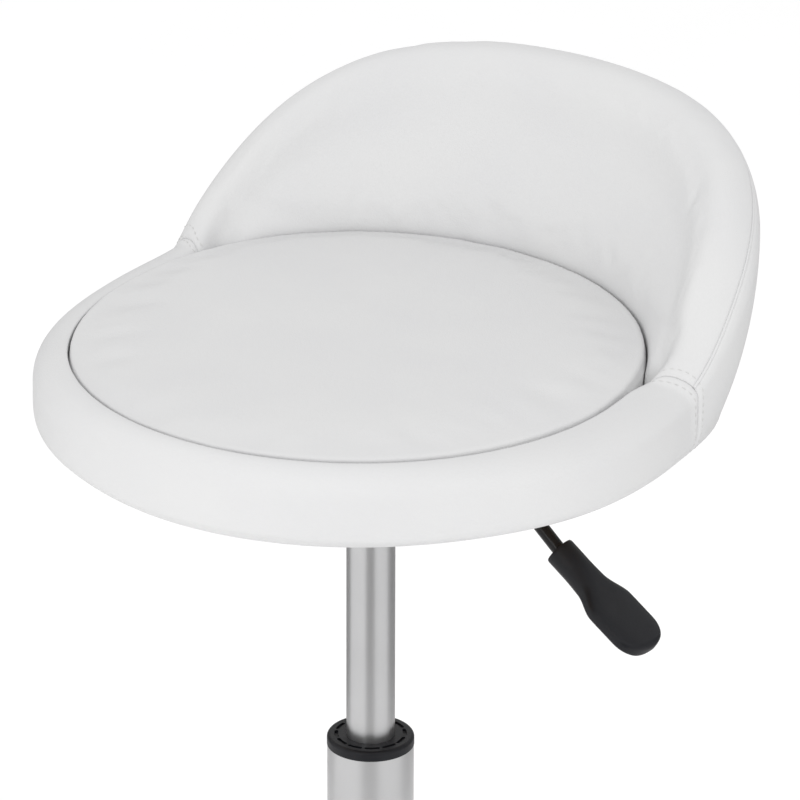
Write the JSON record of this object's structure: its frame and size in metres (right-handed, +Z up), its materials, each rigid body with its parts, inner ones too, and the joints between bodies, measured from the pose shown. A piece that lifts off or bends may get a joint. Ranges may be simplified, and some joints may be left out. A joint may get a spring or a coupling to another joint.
{
  "type": "rolling stylist stool",
  "caption": "Height-adjustable rolling salon stool with a round padded seat, low wrap-around back, gas lift with side lever and five-leg castor base.",
  "frame": {"origin": "on the floor, on the axis of the column", "axes": "+Z up the column, -Y towards the front of the seat, +X towards the release lever"},
  "size_m": [0.5187, 0.5135, 0.6638],
  "materials": {
    "white_cover": "smooth white faux leather, fine grain, low sheen",
    "foam": "open-cell upholstery foam, hidden under the covers",
    "plywood": "unfinished birch plywood",
    "satin_steel": "satin silver",
    "zinc_steel": "zinc plated",
    "black_paint": "black paint, semi-gloss",
    "black_plastic": "black moulded plastic, fine texture",
    "wheel_nylon": "black nylon, rolling wear",
    "black_rubber": "black rubber"
  },
  "bodies": {
    "base": {"base_hub": "satin_steel", "base_leg_1": "satin_steel", "base_leg_2": "satin_steel", "base_leg_3": "satin_steel", "base_leg_4": "satin_steel", "base_leg_5": "satin_steel", "castor_sockets": "zinc_steel", "castor_stems": "zinc_steel", "column_tube": "satin_steel", "guide_bush": "black_plastic", "column_end_plate": "zinc_steel", "bearing_lower_race": "zinc_steel"},
    "rod": {"piston_rod": "zinc_steel", "piston": "zinc_steel", "bearing_balls": "zinc_steel", "bearing_upper_race": "zinc_steel", "rubber_buffer": "black_rubber", "retaining_clip": "zinc_steel"},
    "seat": {"gas_cylinder": "satin_steel", "cylinder_gland": "zinc_steel", "taper_socket": "black_paint", "mounting_plate": "black_paint", "lever_pivot_pin": "zinc_steel", "plate_bolts": "zinc_steel", "tee_nuts": "zinc_steel", "seat_board": "plywood", "pad_board": "plywood", "seat_pad_foam": "foam", "seat_pad_cover": "white_cover", "rim_foam": "foam", "rim_cover": "white_cover", "back_board": "plywood", "back_foam": "foam", "back_inner_cover": "white_cover", "back_outer_cover": "white_cover", "back_brackets": "black_paint", "wood_screws": "zinc_steel"},
    "lever": {"lever_rod": "black_paint", "lever_handle": "black_plastic"},
    "button": {"release_button": "zinc_steel"},
    "castor_1": {"castor_housing_1": "black_plastic", "castor_axle_1": "zinc_steel"},
    "wheel_left_1": {"castor_wheel_left_1": "wheel_nylon"},
    "wheel_right_1": {"castor_wheel_right_1": "wheel_nylon"},
    "castor_2": {"castor_housing_2": "black_plastic", "castor_axle_2": "zinc_steel"},
    "wheel_left_2": {"castor_wheel_left_2": "wheel_nylon"},
    "wheel_right_2": {"castor_wheel_right_2": "wheel_nylon"},
    "castor_3": {"castor_housing_3": "black_plastic", "castor_axle_3": "zinc_steel"},
    "wheel_left_3": {"castor_wheel_left_3": "wheel_nylon"},
    "wheel_right_3": {"castor_wheel_right_3": "wheel_nylon"},
    "castor_4": {"castor_housing_4": "black_plastic", "castor_axle_4": "zinc_steel"},
    "wheel_left_4": {"castor_wheel_left_4": "wheel_nylon"},
    "wheel_right_4": {"castor_wheel_right_4": "wheel_nylon"},
    "castor_5": {"castor_housing_5": "black_plastic", "castor_axle_5": "zinc_steel"},
    "wheel_left_5": {"castor_wheel_left_5": "wheel_nylon"},
    "wheel_right_5": {"castor_wheel_right_5": "wheel_nylon"}
  },
  "joints": [
    {"name": "seat_swivel", "type": "hinge", "parent": "base", "child": "rod", "pos_m": [0, 0, 0.096], "axis": [0, 0, 1], "continuous": true},
    {"name": "seat_lift", "type": "slide", "parent": "rod", "child": "seat", "axis": [0, 0, 1], "range_m": [-0.14, 0]},
    {"name": "lever_lift", "type": "hinge", "parent": "seat", "child": "lever", "pos_m": [0.022, 0, 0.4959], "axis": [0, -1, 0], "range_deg": [0, 8], "stiffness_Nm_per_rad": 2},
    {"name": "button_press", "type": "slide", "parent": "seat", "child": "button", "axis": [0, 0, -1], "range_m": [0, 0.0031], "stiffness_N_per_m": 400},
    {"name": "castor_swivel_1", "type": "hinge", "parent": "base", "child": "castor_1", "pos_m": [0, -0.235, 0.05], "axis": [0, 0, 1], "continuous": true},
    {"name": "wheel_spin_left_1", "type": "hinge", "parent": "castor_1", "child": "wheel_left_1", "pos_m": [0.00761, -0.25131, 0.025], "axis": [0.9063, 0.4226, 0], "continuous": true},
    {"name": "wheel_spin_right_1", "type": "hinge", "parent": "castor_1", "child": "wheel_right_1", "pos_m": [0.00761, -0.25131, 0.025], "axis": [0.9063, 0.4226, 0], "continuous": true},
    {"name": "castor_swivel_2", "type": "hinge", "parent": "base", "child": "castor_2", "pos_m": [0.2235, -0.07262, 0.05], "axis": [0, 0, 1], "continuous": true},
    {"name": "wheel_spin_left_2", "type": "hinge", "parent": "castor_2", "child": "wheel_left_2", "pos_m": [0.22287, -0.05463, 0.025], "axis": [-0.9994, -0.0349, 0], "continuous": true},
    {"name": "wheel_spin_right_2", "type": "hinge", "parent": "castor_2", "child": "wheel_right_2", "pos_m": [0.22287, -0.05463, 0.025], "axis": [-0.9994, -0.0349, 0], "continuous": true},
    {"name": "castor_swivel_3", "type": "hinge", "parent": "base", "child": "castor_3", "pos_m": [0.13813, 0.19012, 0.05], "axis": [0, 0, 1], "continuous": true},
    {"name": "wheel_spin_left_3", "type": "hinge", "parent": "castor_3", "child": "wheel_left_3", "pos_m": [0.15543, 0.18516, 0.025], "axis": [0.2756, 0.9613, 0], "continuous": true},
    {"name": "wheel_spin_right_3", "type": "hinge", "parent": "castor_3", "child": "wheel_right_3", "pos_m": [0.15543, 0.18516, 0.025], "axis": [0.2756, 0.9613, 0], "continuous": true},
    {"name": "castor_swivel_4", "type": "hinge", "parent": "base", "child": "castor_4", "pos_m": [-0.13813, 0.19012, 0.05], "axis": [0, 0, 1], "continuous": true},
    {"name": "wheel_spin_left_4", "type": "hinge", "parent": "castor_4", "child": "wheel_left_4", "pos_m": [-0.13317, 0.17282, 0.025], "axis": [0.9613, 0.2756, 0], "continuous": true},
    {"name": "wheel_spin_right_4", "type": "hinge", "parent": "castor_4", "child": "wheel_right_4", "pos_m": [-0.13317, 0.17282, 0.025], "axis": [0.9613, 0.2756, 0], "continuous": true},
    {"name": "castor_swivel_5", "type": "hinge", "parent": "base", "child": "castor_5", "pos_m": [-0.2235, -0.07262, 0.05], "axis": [0, 0, 1], "continuous": true},
    {"name": "wheel_spin_left_5", "type": "hinge", "parent": "castor_5", "child": "wheel_left_5", "pos_m": [-0.24147, -0.07356, 0.025], "axis": [0.0523, -0.9986, 0], "continuous": true},
    {"name": "wheel_spin_right_5", "type": "hinge", "parent": "castor_5", "child": "wheel_right_5", "pos_m": [-0.24147, -0.07356, 0.025], "axis": [0.0523, -0.9986, 0], "continuous": true}
  ],
  "couplings": [
    {"joint": "button_press", "follows": "lever_lift", "m_per_rad": 0.0215}
  ]
}
